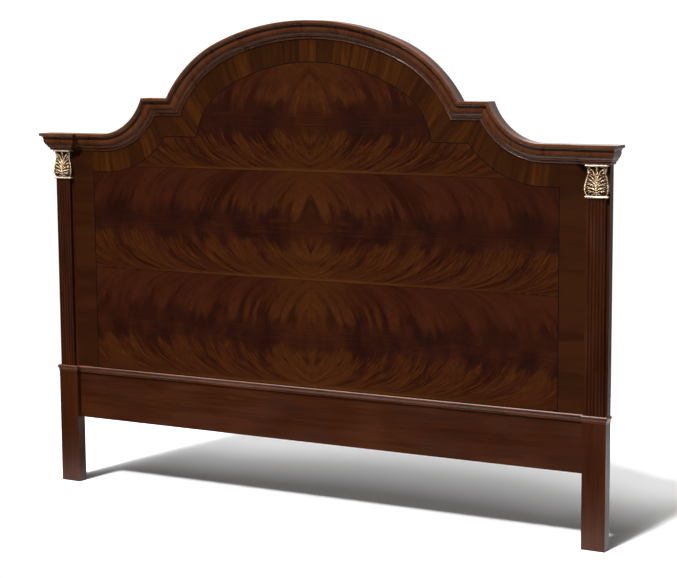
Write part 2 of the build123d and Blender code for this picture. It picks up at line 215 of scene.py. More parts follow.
def build(name, verts, faces, grain, material, stands_for, sharp=32):
    """One piece as a mesh object with its grain coordinates, riding on the frame."""
    mesh = bpy.data.meshes.new(name)
    mesh.from_pydata([tuple(v) for v in verts], [], faces)
    mesh.update()
    shape = bmesh.new()
    shape.from_mesh(mesh)
    bmesh.ops.recalc_face_normals(shape, faces=shape.faces)
    shape.to_mesh(mesh)
    shape.free()
    data = mesh.attributes.new("grain", "FLOAT_VECTOR", "POINT")
    data.data.foreach_set("vector", np.array(grain, np.float32).ravel())
    mesh.shade_smooth()
    mesh.set_sharp_from_angle(angle=radians(sharp))
    mesh.materials.append(material)
    piece = bpy.data.objects.new(name, mesh)
    bpy.context.scene.collection.objects.link(piece)
    even = piece.modifiers.new("even", "WEIGHTED_NORMAL")
    even.keep_sharp = True
    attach(piece, "root")
    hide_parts(*stands_for)
    return piece


def run_lengths(points):
    """How far along its line each point lies."""
    steps = np.linalg.norm(np.diff(np.array(points), axis=0), axis=1)
    return np.concatenate([[0.0], np.cumsum(steps)])


def tube_faces(rings, count):
    """Faces between closed rings of count points each, and one at either end."""
    faces = []
    for i in range(rings - 1):
        for j in range(count):
            k = (j + 1) % count
            faces.append((i * count + j, i * count + k, (i + 1) * count + k, (i + 1) * count + j))
    faces.append(tuple(range(count)))
    faces.append(tuple(range((rings - 1) * count, rings * count)))
    return faces


def sweep(name, line, profile, side, material, seed=0.0):
    """A profile of (d, y) points carried along line(d); grain is (along, across, seed)."""
    lines = [line(d) for d, _ in profile]
    girth = run_lengths(profile)
    along = run_lengths(lines[0])
    verts, grain = [], []
    for i in range(len(along)):
        for j, (_, y) in enumerate(profile):
            x, z = lines[j][i]
            verts.append((side * x, y, z))
            grain.append((along[i], girth[j], seed))
    faces = tube_faces(len(along), len(profile))
    return build(name, verts, faces, grain, material, [name])


def loft(name, outlines, levels, side, material, seed=0.0):
    """Outlines in plan, one above the other; grain runs round the outline."""
    verts, grain = [], []
    for outline, z in zip(outlines, levels):
        round_it = run_lengths(outline)
        for j, (x, y) in enumerate(outline):
            verts.append((side * x, y, z))
            grain.append((round_it[j], z - levels[-1], seed))
    faces = tube_faces(len(levels), len(outlines[0]))
    return build(name, verts, faces, grain, material, [name])


# ---- shader helpers ----


class Wire:
    """A socket that can be added, multiplied and so on, each step as a Math node."""

    def __init__(self, shader, socket):
        self.shader, self.socket = shader, socket

    def __add__(self, other):
        return self.shader.math("ADD", self, other)

    def __sub__(self, other):
        return self.shader.math("SUBTRACT", self, other)

    def __rsub__(self, other):
        return self.shader.math("SUBTRACT", other, self)

    def __mul__(self, other):
        return self.shader.math("MULTIPLY", self, other)

    def __truediv__(self, other):
        return self.shader.math("DIVIDE", self, other)

    __radd__ = __add__
    __rmul__ = __mul__


class Shader:
    """Builds the node tree of one material."""

    def __init__(self, name, roughness=0.3, metallic=0.0, specular=0.5, coat=0.0, coat_roughness=0.1):
        self.material = bpy.data.materials.new(name)
        self.material.use_nodes = True
        self.tree = self.material.node_tree
        self.surface = self.tree.nodes["Principled BSDF"].inputs
        self.surface["Roughness"].default_value = roughness
        self.surface["Metallic"].default_value = metallic
        self.surface["Specular IOR Level"].default_value = specular
        self.surface["Coat Weight"].default_value = coat
        self.surface["Coat Roughness"].default_value = coat_roughness

    def plug(self, socket, value):
        if isinstance(value, Wire):
            self.tree.links.new(value.socket, socket)
        elif isinstance(value, tuple) and len(value) == 3 and socket.type == "RGBA":
            socket.default_value = (*value, 1.0)
        else:
            socket.default_value = value

    def node(self, kind, output, inputs, **settings):
        node = self.tree.nodes.new(kind)
        for key, value in settings.items():
            setattr(node, key, value)
        for key, value in inputs.items():
            self.plug(node.inputs[key], value)
        return Wire(self, node.outputs[output])

    def math(self, operation, a, b=0.0):
        return self.node("ShaderNodeMath", 0, {0: a, 1: b}, operation=operation)

    def least(self, a, b):
        return self.math("MINIMUM", a, b)

    def most(self, a, b):
        return self.math("MAXIMUM", a, b)

    def root(self, a):
        return self.math("SQRT", self.most(a, 0.0))

    def size(self, a):
        return self.math("ABSOLUTE", a)

    def part(self, a):
        return self.math("FRACT", a)

    def whole(self, a):
        return self.math("FLOOR", a)

    def place(self):
        """The point's x, y and z in the frame."""
        return self.split(self.node("ShaderNodeTexCoord", "Object", {}))

    def grain(self):
        """The piece's own grain coordinates: along, across and a number of its own."""
        return self.split(self.node("ShaderNodeAttribute", "Vector", {}, attribute_name="grain"))

    def split(self, vector):
        node = self.tree.nodes.new("ShaderNodeSeparateXYZ")
        self.plug(node.inputs[0], vector)
        return [Wire(self, out) for out in node.outputs]

    def point(self, x, y, z):
        return self.node("ShaderNodeCombineXYZ", 0, {0: x, 1: y, 2: z})

    def noise(self, x, y, z=0.0, detail=2.0, rough=0.5, warp=0.0):
        """Smooth noise from 0 to 1 at a point measured in the noise's own cells."""
        inputs = {"Vector": self.point(x, y, z), "Scale": 1.0, "Detail": detail, "Roughness": rough,
                  "Distortion": warp}
        return self.node("ShaderNodeTexNoise", "Fac", inputs)

    def ramp(self, value, start, end, low=0.0, high=1.0):
        """Goes smoothly from low to high as value goes from start to end."""
        inputs = {"Value": value, 1: start, 2: end, 3: low, 4: high}
        return self.node("ShaderNodeMapRange", 0, inputs, interpolation_type="SMOOTHSTEP")

    def bell(self, value, centre, width):
        """1 at the centre, falling to 0 at the width on each side."""
        return self.ramp(self.size(value - centre), 0.0, width, 1.0, 0.0)

    def openness(self, distance):
        """1 in the open, lower in grooves and corners that other faces of the piece close in; the wood
        materials paint shade with it.
        """
        inputs = {"Distance": distance}
        return self.node("ShaderNodeAmbientOcclusion", "AO", inputs, samples=8, only_local=True)

    def mix(self, amount, a, b):
        return self.node("ShaderNodeMix", 2, {0: amount, 6: a, 7: b}, data_type="RGBA")

    def finish(self, colour, roughness=None, height=None, depth=0.0001):
        self.plug(self.surface["Base Color"], colour)
        if roughness is not None:
            self.plug(self.surface["Roughness"], roughness)
        if height is not None:
            inputs = {"Height": height, "Distance": depth, "Strength": 1.0}
            self.plug(self.surface["Normal"], self.node("ShaderNodeBump", 0, inputs))
        return self.material


# ---- wood ----
# tones of mahogany, from the darkest to the palest, as linear colours
DEEP = (0.0110, 0.0022, 0.0008)
BROWN = (0.0420, 0.0094, 0.0020)
RUSSET = (0.0620, 0.0150, 0.0036)
AMBER = (0.1050, 0.0310, 0.0076)
FAWN = (0.0800, 0.0225, 0.0080)
TAWNY = (0.1180, 0.0375, 0.0140)
HONEY = (0.1900, 0.0730, 0.0290)


def wood(shader, along, across, third, tone=1.0):
    """Straight-grained mahogany: broad ribbons, fine streaks and short dark pores."""
    drift = shader.noise(along * 1.1, across * 9, third * 9, detail=1.0) * 0.03
    line = across + drift
    ribbon = shader.noise(along * 2.2, line * 42, third * 42, detail=2.0)
    streak = shader.noise(along * 7, line * 330, third * 330, detail=2.0, rough=0.6)
    pore = shader.ramp(shader.noise(along * 60, line * 1500, third * 1500, detail=1.0), 0.62, 0.74)
    cloud = shader.noise(along * 3, across * 5, third * 5, detail=2.0)
    body = shader.mix(shader.ramp(ribbon, 0.3, 0.72), BROWN, RUSSET)
    body = shader.mix(shader.ramp(streak, 0.52, 0.75, 0.0, 0.55), body, AMBER)
    body = shader.mix(shader.ramp(streak, 0.46, 0.25, 0.0, 0.60), body, DEEP)
    body = shader.mix(shader.ramp(cloud, 0.35, 0.65, 0.38, 0.0), body, DEEP)
    body = shader.mix(pore * 0.55, body, DEEP)
    body = shader.mix(1.0 - tone, body, DEEP) if tone < 1 else body
    return body, streak, pore


def lacquered(name, axis, tone=1.0, roughness=0.34, groove_shade=0.0):
    """Solid mahogany with its grain along one axis of the frame, under satin lacquer; groove_shade
    is how far painted shade darkens its grooves, by how closed in they are."""
    shader = Shader(name, roughness, specular=0.22, coat=0.05, coat_roughness=0.18)
    place = shader.place()
    along = place.pop("xyz".index(axis))
    body, streak, pore = wood(shader, along, place[0], place[1], tone)
    # painted shade: grooves and corners closed in by the piece's own faces are darkened towards DEEP
    if groove_shade:
        body = shader.mix(shader.ramp(shader.openness(0.008), 0.62, 0.96, groove_shade, 0.0), body, DEEP)
    gloss = shader.noise(along * 6, place[0] * 14, place[1] * 14, detail=3.0)
    rough = shader.ramp(gloss, 0.3, 0.7, roughness - 0.05, roughness + 0.09)
    return shader.finish(body, rough, streak * 0.5 - pore, 0.00012)


def moulded(name, tone=1.0):
    """Mouldings cut across the grain, so that fine streaks run over the profile."""
    shader = Shader(name, 0.30, specular=0.45, coat=0.3, coat_roughness=0.12)
    along, across, seed = shader.grain()
    broad = shader.noise(along * 18, across * 6, seed, detail=2.0)
    streak = shader.noise(along * 420, across * 22, seed, detail=2.0, rough=0.6)
    fine = shader.noise(along * 1500, across * 60, seed, detail=1.0)
    body = shader.mix(shader.ramp(broad, 0.3, 0.7), FAWN, TAWNY)
    body = shader.mix(shader.ramp(streak, 0.5, 0.75, 0.0, 0.6), body, HONEY)
    body = shader.mix(shader.ramp(streak, 0.46, 0.25, 0.0, 0.50), body, BROWN)
    body = shader.mix(shader.ramp(fine, 0.58, 0.7, 0.0, 0.4), body, BROWN)
    # painted shade: the quirks and hollows of the profile are darkened towards DEEP by how closed in they
    # are
    body = shader.mix(shader.ramp(shader.openness(0.012), 0.50, 0.92, 0.92, 0.0), body, DEEP)
    body = shader.mix(1.0 - tone, body, DEEP) if tone < 1 else body
    rough = shader.ramp(broad, 0.3, 0.7, 0.26, 0.34)
    return shader.finish(body, rough, streak)


def moulded_along(name):
    """The cap moulding, with its grain along it and a paler, rubbed tone than the rail."""
    shader = Shader(name, 0.30, specular=0.4, coat=0.12, coat_roughness=0.15)
    x, y, z = shader.place()
    ribbon = shader.noise(x * 4, y * 60, z * 60, detail=2.0)
    streak = shader.noise(x * 16, y * 600, z * 600, detail=2.0, rough=0.6)
    body = shader.mix(shader.ramp(ribbon, 0.3, 0.7), BROWN, FAWN)
    body = shader.mix(shader.ramp(streak, 0.5, 0.75, 0.0, 0.6), body, AMBER)
    body = shader.mix(shader.ramp(streak, 0.46, 0.25, 0.0, 0.5), body, DEEP)
    return shader.finish(body, shader.ramp(ribbon, 0.3, 0.7, 0.26, 0.34), streak)


def banded(name, piece_length=0.062):
    """Cross-banding: short leaves side by side, each with its grain across the band."""
    shader = Shader(name, 0.30, specular=0.24, coat=0.06, coat_roughness=0.12)
    along, across, seed = shader.grain()
    place = along / piece_length + seed
    leaf = shader.whole(place)
    tone = shader.noise(leaf * 7.31, seed, detail=0.0)
    edge = shader.size(shader.part(place) - 0.5)
    joint = shader.ramp(edge, 0.482, 0.497)
    sway = shader.noise(along * 6, across * 9, leaf * 3.7, detail=1.0) * 0.02
    streak = shader.noise((along + sway) * 260, across * 7, leaf, detail=3.0, rough=0.6)
    broad = shader.noise((along + sway) * 60, across * 4, leaf, detail=1.0)
    pore = shader.ramp(shader.noise(along * 1300, across * 70, leaf, detail=1.0), 0.6, 0.72)
    body = shader.mix(shader.ramp(broad, 0.3, 0.7), (0.0290, 0.0066, 0.0006), (0.0540, 0.0145, 0.0014))
    body = shader.mix(shader.ramp(streak, 0.5, 0.75, 0.0, 0.65), body, (0.0900, 0.0280, 0.0036))
    body = shader.mix(shader.ramp(streak, 0.45, 0.25, 0.0, 0.60), body, DEEP)
    body = shader.mix(shader.ramp(tone, 0.35, 0.62, 0.60, 0.0), body, (0.0150, 0.0034, 0.0007))
    body = shader.mix(pore * 0.4, body, DEEP)
    body = shader.mix(joint * 0.8, body, (0.0040, 0.0010, 0.0004))
    return shader.finish(body, 0.30 + 0.08 * streak, streak - joint)


def side_banded(name):
    """The upright strips beside the field, with level grain."""
    shader = Shader(name, 0.30, specular=0.24, coat=0.06, coat_roughness=0.12)
    x, _, z = shader.place()
    streak = shader.noise(x * 7, 0.0, z * 260, detail=3.0, rough=0.6)
    broad = shader.noise(x * 4, 3.0, z * 34, detail=1.0)
    pore = shader.ramp(shader.noise(x * 70, 0.0, z * 1300, detail=1.0), 0.6, 0.72)
    body = shader.mix(shader.ramp(broad, 0.3, 0.7), (0.0210, 0.0048, 0.0009), (0.0330, 0.0084, 0.0016))
    body = shader.mix(shader.ramp(streak, 0.5, 0.75, 0.0, 0.5), body, (0.0430, 0.0132, 0.0030))
    body = shader.mix(shader.ramp(streak, 0.45, 0.25, 0.0, 0.5), body, DEEP)
    body = shader.mix(pore * 0.4, body, DEEP)
    return shader.finish(body, 0.30 + 0.08 * streak, streak)


def flame(name):
    """Crotch veneer in three rows, matched about the centre: feathers that sweep in to each seam."""
    shader = Shader(name, 0.30, specular=0.24, coat=0.06, coat_roughness=0.12)
    x, _, z = shader.place()
    u = shader.size(x)
    level = shader.most((z - FIELD_FOOT) / ROW_H, 0.0)
    row = shader.whole(level)
    v = level - row
    seed = row * 3.7
    wander = shader.noise(u * 3.2, v * 1.2, seed, detail=2.0) - 0.5
    middle = 0.52 + wander * 0.12
    above = shader.ramp(v - middle, -0.01, 0.01)
    reach = shader.size(v - middle) / (0.51 + 0.05 * wander)
    s = shader.least(reach, 0.995)
    q = u + (1.0 - shader.root(1.0 - s * s)) * (0.235 - 0.05 * above) + wander * 0.035

    # noise that is nearly constant along a stroke, and changes from one stroke to the next
    broad = shader.noise(q * 10, v * 1.6, seed + above * 5, detail=2.0)
    stroke = shader.noise(q * 44, v * 2.4, seed + above * 9, detail=2.0, rough=0.55, warp=0.2)
    hair = shader.noise(q * 200, v * 10.0, seed + above * 3, detail=3.0, rough=0.7)
    fleck = shader.noise(q * 620, v * 30, seed, detail=2.0, rough=0.6)
    mottle = shader.noise(u * 15, v * 4.5, seed + 20.0, detail=4.0, rough=0.6)
    level_line = shader.noise(u * 9, v * 130, seed + 31.0, detail=2.0, rough=0.6)

    # where each feather's ragged tip ends
    tip = 0.34 * (stroke - 0.5) + 0.24 * (broad - 0.5) + 0.16 * (mottle - 0.5)
    lower = shader.ramp(v - tip, 0.40, 0.27)
    upper = shader.ramp(v + tip, 0.58, 0.74)
    heart = shader.ramp(u, 0.20, 0.03)
    near = shader.ramp(u, 0.70, 0.05)
    band = (1.0 - shader.most(lower, upper)) * (1.0 - 0.55 * heart)

    body = shader.mix(shader.ramp(broad, 0.34, 0.66), (0.0223, 0.0040, 0.0012), (0.0378, 0.0079, 0.0026))
    feather = shader.ramp(stroke, 0.45, 0.60) * lower
    body = shader.mix(feather * 0.80, body, (0.0451, 0.0115, 0.0019))
    hanging = shader.ramp(stroke, 0.44, 0.60) * shader.bell(v + tip, 0.70, 0.14) * near
    body = shader.mix(hanging * 0.85, body, (0.0563, 0.0158, 0.0026))
    glow = shader.ramp(stroke, 0.40, 0.62) * upper
    body = shader.mix(glow * 0.5, body, (0.0407, 0.0093, 0.0037))
    body = shader.mix(heart * (1.0 - band) * 0.6, body, (0.0543, 0.0150, 0.0026))
    gap = shader.ramp(stroke, 0.45, 0.34)
    body = shader.mix(gap * (0.35 + 0.35 * lower), body, (0.0116, 0.0021, 0.0005))

    shade = band * shader.ramp(mottle, 0.36, 0.62, 0.80, 0.30)
    body = shader.mix(shade, body, (0.0102, 0.0018, 0.0008))
    waist = shader.bell(v, 0.47, 0.20)
    dash = shader.ramp(level_line, 0.54, 0.68) * waist * shader.ramp(mottle, 0.32, 0.55)
    body = shader.mix(dash * 0.8, body, (0.0427, 0.0106, 0.0022))
    body = shader.mix(shader.ramp(level_line, 0.46, 0.32) * waist * 0.7, body, (0.0075, 0.0014, 0.0010))

    thread = shader.ramp(hair, 0.50, 0.66)
    body = shader.mix(thread * lower * 0.75, body, (0.0704, 0.0214, 0.0037))
    above_thread = thread * (upper * (0.22 + 0.5 * heart) + hanging * 0.5)
    body = shader.mix(above_thread, body, (0.0621, 0.0176, 0.0033))
    body = shader.mix(shader.ramp(hair, 0.47, 0.34) * lower * 0.80, body, (0.0087, 0.0016, 0.0007))
    body = shader.mix(shader.ramp(hair, 0.45, 0.32) * upper * 0.45, body, (0.0126, 0.0025, 0.0010))
    body = shader.mix(shader.ramp(fleck, 0.55, 0.68, 0.0, 0.55), body, (0.0092, 0.0018, 0.0008))

    lip = shader.ramp(v + 0.05 * (mottle - 0.5), 0.036, 0.008) * shader.ramp(u, 0.80, 0.15)
    body = shader.mix(lip * 0.7, body, (0.0722, 0.0229, 0.0041))
    seam = shader.ramp(shader.size(v - 0.5), 0.4955, 0.4985)
    centre = shader.ramp(u, 0.0011, 0.0004)
    body = shader.mix(shader.most(seam, centre * 0.35) * 0.7, body, (0.0049, 0.0011, 0.0007))
    rough = 0.27 + 0.07 * hair + 0.04 * band
    return shader.finish(body, rough, hair * 0.5 + stroke - seam)


def ebonised(name):
    """The stringing line: dyed veneer with a trace of grain."""
    shader = Shader(name, 0.5, specular=0.1)
    x, _, z = shader.place()
    streak = shader.noise(x * 120, 0.0, z * 120, detail=2.0)
    body = shader.mix(streak, (0.0012, 0.0006, 0.0004), (0.0060, 0.0022, 0.0012))
    return shader.finish(body, 0.45 + 0.1 * streak, streak, 0.00005)


def gilded(name):
    """Burnished gold on what stands out, with painted shade: the cuts of the carving go near-black and less
    metallic.
    """
    shader = Shader(name, 0.30)
    x, y, z = shader.place()
    height, _, _ = shader.grain()
    patch = shader.noise(x * 130, y * 130, z * 130, detail=3.0, rough=0.6)
    fine = shader.noise(x * 700, y * 700, z * 700, detail=2.0)
    # painted shade: low places of the carving fade to near-black and lose their metal, high places stay gold
    raised = shader.ramp(height + 0.25 * (patch - 0.5), 0.20, 0.50)
    gold = shader.mix(shader.ramp(patch, 0.35, 0.7), (0.60, 0.37, 0.15), (1.0, 0.84, 0.62))
    body = shader.mix(raised, (0.030, 0.010, 0.004), gold)
    rough = shader.ramp(patch, 0.3, 0.7, 0.24, 0.42)
    shader.plug(shader.surface["Metallic"], shader.ramp(raised, 0.0, 0.5, 0.1, 0.50))
    return shader.finish(body, rough, fine * 0.5 + patch, 0.00015)


def gilded_bead(name):
    """Gold on a turned bead, rubbed through to the bole in places."""
    shader = Shader(name, 0.26, metallic=0.6)
    x, y, z = shader.place()
    patch = shader.noise(x * 90, y * 90, z * 260, detail=3.0, rough=0.6)
    rub = shader.ramp(shader.noise(x * 300, y * 300, z * 300, detail=2.0), 0.62, 0.75)
    gold = shader.mix(shader.ramp(patch, 0.35, 0.7), (0.80, 0.60, 0.42), (1.0, 0.86, 0.70))
    body = shader.mix(rub * 0.3, gold, (0.20, 0.075, 0.030))
    return shader.finish(body, shader.ramp(patch, 0.3, 0.7, 0.20, 0.36), patch)


def plain_wood(name, axis, pale, dark, roughness):
    """Unpolished wood that stays inside or on the edge: core and dowels."""
    shader = Shader(name, roughness)
    place = shader.place()
    along = place.pop("xyz".index(axis))
    streak = shader.noise(along * 5, place[0] * 240, place[1] * 240, detail=3.0, rough=0.6)
    broad = shader.noise(along * 3, place[0] * 30, place[1] * 30, detail=2.0)
    fleck = shader.noise(along * 55, place[0] * 1200, place[1] * 1200, detail=1.0)
    pore = shader.ramp(fleck, 0.6, 0.72)
    body = shader.mix(shader.ramp(streak * 0.6 + broad * 0.4, 0.35, 0.65), dark, pale)
    body = shader.mix(pore * 0.4, body, dark)
    return shader.finish(body, roughness + 0.1 * streak, streak - pore, 0.00015)


def steel(name):
    """Zinc-plated insert: turned rings and a little tarnish."""
    shader = Shader(name, 0.35, metallic=1.0)
    x, y, z = shader.place()
    patch = shader.noise(x * 200, y * 200, z * 200, detail=3.0)
    turned = shader.noise(x * 30, y * 4000, z * 30, detail=1.0)
    body = shader.mix(shader.ramp(patch, 0.3, 0.7), (0.42, 0.41, 0.37), (0.62, 0.61, 0.57))
    return shader.finish(body, shader.ramp(patch, 0.3, 0.7, 0.30, 0.5), turned, 0.00005)


# ---- mouldings ----
MAIN_BASE = MAIN_FRONT + REACH
BLOCK_BASE = BLOCK_FRONT + REACH


def mm(*pairs):
    """Points given in millimetres, turned into metres."""
    return [(d * MM, p * MM) for d, p in pairs]


def crown_curve():
    """Fillet, cavetto, quirk and thumb, in (depth, projection) from the top edge down."""
    points = mm((0, 34), (9, 34), (9, 32.4)) + bend(*mm((9, 32.4), (12.2, 26.8), (18, 24)))[1:]
    points += mm((19.6, 22.5), (20.2, 23.8)) + bend(*mm((20.2, 23.8), (32.5, 21.5), (43, 14)), 12)[1:]
    return points


def bed_curve():
    """Ovolo over two beads."""
    points = bend(*mm((43, 14), (48, 12.2), (50, 8)))
    points += bend(*mm((50, 7), (52, 9), (54, 7)), 9)
    points += bend(*mm((54, 5.2), (56, 7.2), (58, 5.2)), 9)
    return points


def main_outline(curve):
    """The closed profile of the main run as (depth, y)."""
    points = [(d, MAIN_BASE - p) for d, p in curve]
    points = [(points[0][0], CORE_FRONT)] + points + [(points[-1][0], CORE_FRONT)]
    return soften(points, ARRIS)


def crest_run(base, profile, curve, material):
    """The arch, both steps and both coves of one moulding, which stop at the corner blocks."""
    depths = [d for d, _ in curve]
    stops = [INNER - p for _, p in curve]

    def cove(d):
        return CREST.cove(d, float(np.interp(d, depths, stops)))

    sweep(base + "_arch", CREST.arch, profile, 1, material)
    for name, side in SIDES:
        sweep(f"{base}_step_{name}", CREST.level, profile, side, material, 2.0 + side)
        sweep(f"{base}_cove_{name}", cove, profile, side, material, 6.0 + side)


def block_outline(p, round_post):
    """A corner block in plan, p proud of its base; round_post leaves room for the post behind it."""
    front = [(INNER - p, CORE_FRONT), (INNER - p, BLOCK_BASE - p), (HALF + p, BLOCK_BASE - p),
             (HALF + p, POST_BACK)]
    if round_post:
        return front + [(HALF, POST_BACK), (HALF, POST_FRONT), (INNER, POST_FRONT), (INNER, CORE_FRONT)]
    return front + [(INNER, POST_BACK), (INNER, CORE_FRONT)]


def corner_block(base, curve, material):
    """The blocks over the posts: the cornice's stand on them, and the bed mould's fit round them."""
    for name, side in SIDES:
        outline = soften(curve, ARRIS, closed=False)
        plans = [block_outline(p, base == "bed_mould") for _, p in outline]
        levels = [STRAIGHT_Z - d for d, _ in outline]
        loft(f"{base}_block_{name}", plans, levels, side, material, 10.0 + side)


def cornice():
    """Crown moulding over bed mould, each with its corner blocks."""
    polished = moulded("moulding_mahogany")
    for base, curve in (("cornice", crown_curve()), ("bed_mould", bed_curve())):
        crest_run(base, main_outline(curve), curve, polished)
        corner_block(base, curve, polished)


def lipping():
    """Solid edging behind the cornice, along the top of the panel."""
    profile = [(0, CORE_FRONT), (0, POST_BACK), (LIPPING_H, POST_BACK), (LIPPING_H, CORE_FRONT)]
    flush = [(0, 0), (LIPPING_H, 0)]
    crest_run("lipping", soften(profile, ARRIS), flush, moulded("edging_mahogany", 0.4))


# ---- cross-banding and stringing ----


def band_between(name, outer, inner, side, material, seed):
    """A thin leaf between two lines, with grain running from one line to the other."""
    rows = 5
    verts, grain = [], []
    along = run_lengths([((a[0] + b[0]) / 2, (a[1] + b[1]) / 2) for a, b in zip(outer, inner)])
    for y in (FACE, CORE_FRONT):
        for i, (a, b) in enumerate(zip(outer, inner)):
            width = sqrt((a[0] - b[0]) ** 2 + (a[1] - b[1]) ** 2)
            for t in np.linspace(0, 1, rows):
                verts.append((side * (a[0] + (b[0] - a[0]) * t), y, a[1] + (b[1] - a[1]) * t))
                grain.append((along[i], width * t, seed))
    count = len(outer)
    layer = count * rows
    faces = []
    for i in range(count - 1):
        for j in range(rows - 1):
            first = i * rows + j
            quad = (first, first + 1, first + rows + 1, first + rows)
            faces += [quad, tuple(layer + k for k in quad[::-1])]
    rim = [i * rows for i in range(count)] + [(count - 1) * rows + j for j in range(1, rows)]
    rim += [i * rows + rows - 1 for i in range(count - 2, -1, -1)] + list(range(rows - 2, 0, -1))
    for a, b in zip(rim, rim[1:] + rim[:1]):
        faces.append((a, b, layer + b, layer + a))
    return build(name, verts, faces, grain, material, [name])


def resample(points, count):
    """The same line with its points spaced evenly."""
    at = run_lengths(points)
    flat = np.array(points)
    want = np.linspace(0, at[-1], count)
    return list(zip(np.interp(want, at, flat[:, 0]), np.interp(want, at, flat[:, 1])))


def crossbanding():
    """The band between the bed mould and the field, tucked a little under the mould."""
    material = banded("crossband_mahogany")
    side_strip = side_banded("crossband_side_mahogany")
    hidden = BED_D - TUCK

    def band(name, outer, inner, count, side, seed):
        band_between(name, resample(outer, count), resample(inner, count), side, material, seed)

    band("crossband_arch", CREST.arch(hidden), FIELD.arch(0), BAND_ARCH_COUNT, 1, 0.5)
    for name, side in SIDES:
        band("crossband_step_" + name, CREST.level(hidden), FIELD.level(0), LEVEL_COUNT, side, 4.3 + side)
        over, under = CREST.cove(hidden, FIELD_HALF), FIELD.cove(0, FIELD_HALF)
        band("crossband_cove_" + name, over, under, BAND_COVE_COUNT, side, 8.3 + side)
        dress("crossband_side_" + name, side_strip)


def stringing():
    """The dark line, let in a hair proud of the veneer."""
    material = ebonised("stringing_black")
    proud = FACE - STRING_PROUD
    square = [(0, CORE_FRONT), (0, proud), (STRING_W, proud), (STRING_W, CORE_FRONT)]
    profile = soften(square, FINE_ARRIS)
    sweep("stringing_arch", FIELD.arch, profile, 1, material)
    foot = low("stringing_side_right").z

    def side_line(d):
        down = np.linspace(FIELD.straight - d, foot, UPRIGHT_COUNT)[1:]
        shoulder = [FIELD.spring(d)] + FIELD.cove(d, FIELD_HALF - d)
        return shoulder + [(FIELD_HALF - d, z) for z in down]

    for name, side in SIDES:
        sweep(f"stringing_side_{name}", side_line, profile, side, material, side)


# ---- materials on the nodes that stay ----


def dress(node, material, bevel=0.0):
    """Gives a CAD node its material and, with a bevel, breaks its sharp edges."""
    piece = NODES[node]
    piece.data.materials.clear()
    piece.data.materials.append(material)
    if bevel:
        weld = piece.modifiers.new("weld", "WELD")
        weld.merge_threshold = 0.00001
        edge = piece.modifiers.new("arris", "BEVEL")
        edge.width = bevel
        edge.segments = 2
        edge.limit_method = "ANGLE"
        edge.angle_limit = radians(50)
        edge.harden_normals = True


def kept_nodes():
    """Materials for the CAD nodes that show as they are."""
    upright = lacquered("post_mahogany", "z", tone=0.72)
    level = lacquered("rail_mahogany", "x", tone=0.72)
    cap = moulded_along("cap_mahogany")
    # the flutes of the shaft get painted shade, darkened in their grooves
    shaft = lacquered("shaft_mahogany", "z", tone=0.78, groove_shade=0.95)
    field = flame("flame_mahogany")
    beads = gilded_bead("gilt_bead")
    for name, _ in SIDES:
        dress("post_" + name, upright, FRAME_ARRIS)
        dress("pilaster_" + name, shaft)
        dress("plinth_cap_" + name, cap)
        for row in ("bottom", "middle", "top"):
            dress(f"flame_{row}_{name}", field)
        dress("capital_neck_bead_" + name, beads)
        dress("capital_abacus_" + name, beads)
        dress("frame_inserts_" + name, steel("zinc_steel_" + name))
    dress("bottom_rail", level, FRAME_ARRIS)
    dress("rail_cap", cap)
    dress("panel_core", plain_wood("core_board", "x", (0.42, 0.30, 0.19), (0.22, 0.14, 0.08), 0.7))
    dress("back_veneer", lacquered("backing_mahogany", "z", tone=0.85, roughness=0.42))
    beech = plain_wood("beech", "x", (0.60, 0.42, 0.25), (0.40, 0.26, 0.14), 0.6)
    dress("panel_dowels", beech)
    dress("block_dowels", beech)


# ---- the carved capital ----
# fractions of its height, and there half its width and the y of its face, in mm
BELL_AT = (0, 0.06, 0.2, 0.32, 0.5, 0.7, 0.85, 0.95, 1)
BELL_HALF = (31.0, 35.5, 38.8, 38.6, 35.8, 31.6, 30.2, 30.8, 32.0)
BELL_FACE = (-3.0, -5.6, -8.0, -7.4, -4.6, -2.4, -2.2, -3.6, -5.8)
# round it from the middle of the face: the side begins at 1 and meets the post at WRAP
WRAP = 1.5
ROUNDING = 0.62
SHOULDER = 5.0 * MM
RELIEF = 4.2 * MM
COLUMNS, ROWS = 221, 161
LEAF_H = 87.0

